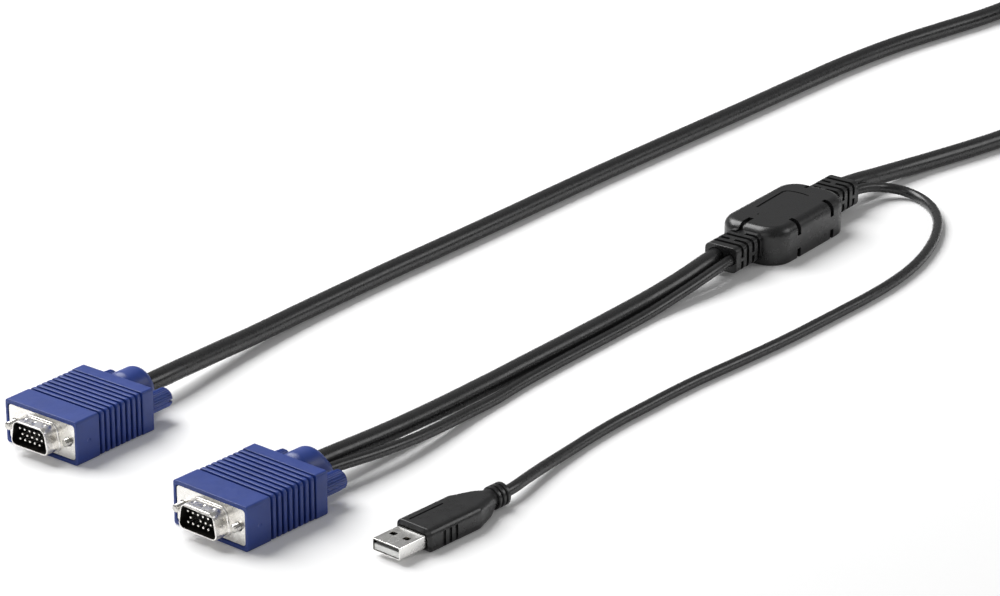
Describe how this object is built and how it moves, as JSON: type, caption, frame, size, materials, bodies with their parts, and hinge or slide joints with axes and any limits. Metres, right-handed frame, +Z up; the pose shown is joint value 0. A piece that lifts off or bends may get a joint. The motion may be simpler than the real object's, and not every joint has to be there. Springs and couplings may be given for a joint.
{
  "type": "kvm cable",
  "caption": "Switch cable with a blue video plug at one end, and at the other a black junction block that splits into a blue video plug and a USB plug.",
  "frame": {"origin": "on the surface that the cable lies on, under the middle of the console plug's front band", "axes": "+X from the console plug's mating face towards its cord, +Z up, +Y across the plug, away from the computer and USB plugs"},
  "size_m": [0.7023, 0.1703, 0.0164],
  "materials": {
    "blue_pvc": "satin moulded PVC, blue",
    "black_pvc": "satin moulded PVC, black",
    "cord_jacket": "satin extruded jacket, black",
    "nickel": "bright nickel plate on drawn steel",
    "screw_steel": "plated turned steel",
    "black_nylon": "matt moulded, black",
    "white_plastic": "matt moulded, white",
    "gold": "thin gold plate",
    "natural_pe": "natural moulded polyethylene",
    "copper": "drawn copper wire",
    "tie_fabric": "woven hook-and-loop strap, black"
  },
  "bodies": {
    "cable": {"console_hood": "blue_pvc", "console_front_shell": "nickel", "console_rear_shell": "nickel", "console_pin_insert": "black_nylon", "console_inner_mould": "natural_pe", "console_cord_core": "copper", "console_ferrule": "nickel", "computer_hood": "blue_pvc", "computer_front_shell": "nickel", "computer_rear_shell": "nickel", "computer_pin_insert": "black_nylon", "computer_inner_mould": "natural_pe", "computer_cord_core": "copper", "computer_ferrule": "nickel", "junction_overmould": "black_pvc", "junction_inner_mould": "natural_pe", "junction_wire_1": "copper", "junction_splice_1": "nickel", "junction_wire_2": "copper", "junction_splice_2": "nickel", "junction_wire_3": "copper", "junction_splice_3": "nickel", "junction_wire_4": "copper", "junction_splice_4": "nickel", "junction_wire_5": "copper", "junction_splice_5": "nickel", "usb_overmould": "black_pvc", "usb_shell": "nickel", "usb_insulator": "white_plastic", "usb_contact_1": "gold", "usb_contact_2": "gold", "usb_contact_3": "gold", "usb_contact_4": "gold", "usb_inner_mould": "natural_pe", "usb_cord_core": "copper", "usb_ferrule": "nickel", "console_cord_run": "cord_jacket", "cord_coil": "cord_jacket", "junction_cord_run": "cord_jacket", "video_branch_cord": "cord_jacket", "control_branch_cord": "cord_jacket", "usb_cord": "cord_jacket", "coil_tie": "tie_fabric"},
    "console_left_thumbscrew": {"console_left_screw": "screw_steel", "console_left_knob": "blue_pvc"},
    "console_right_thumbscrew": {"console_right_screw": "screw_steel", "console_right_knob": "blue_pvc"},
    "computer_left_thumbscrew": {"computer_left_screw": "screw_steel", "computer_left_knob": "blue_pvc"},
    "computer_right_thumbscrew": {"computer_right_screw": "screw_steel", "computer_right_knob": "blue_pvc"}
  },
  "joints": [
    {"name": "console_left_thumbscrew_turn", "type": "hinge", "parent": "cable", "child": "console_left_thumbscrew", "pos_m": [0.0335, 0.0125, 0.00805], "axis": [1, 0, 0], "continuous": true},
    {"name": "console_right_thumbscrew_turn", "type": "hinge", "parent": "cable", "child": "console_right_thumbscrew", "pos_m": [0.0335, -0.0125, 0.00805], "axis": [1, 0, 0], "continuous": true},
    {"name": "computer_left_thumbscrew_turn", "type": "hinge", "parent": "cable", "child": "computer_left_thumbscrew", "pos_m": [0.02117, -0.07805, 0.00805], "axis": [0.9992, -0.0401, 0], "continuous": true},
    {"name": "computer_right_thumbscrew_turn", "type": "hinge", "parent": "cable", "child": "computer_right_thumbscrew", "pos_m": [0.02017, -0.10304, 0.00805], "axis": [0.9992, -0.0401, 0], "continuous": true}
  ]
}
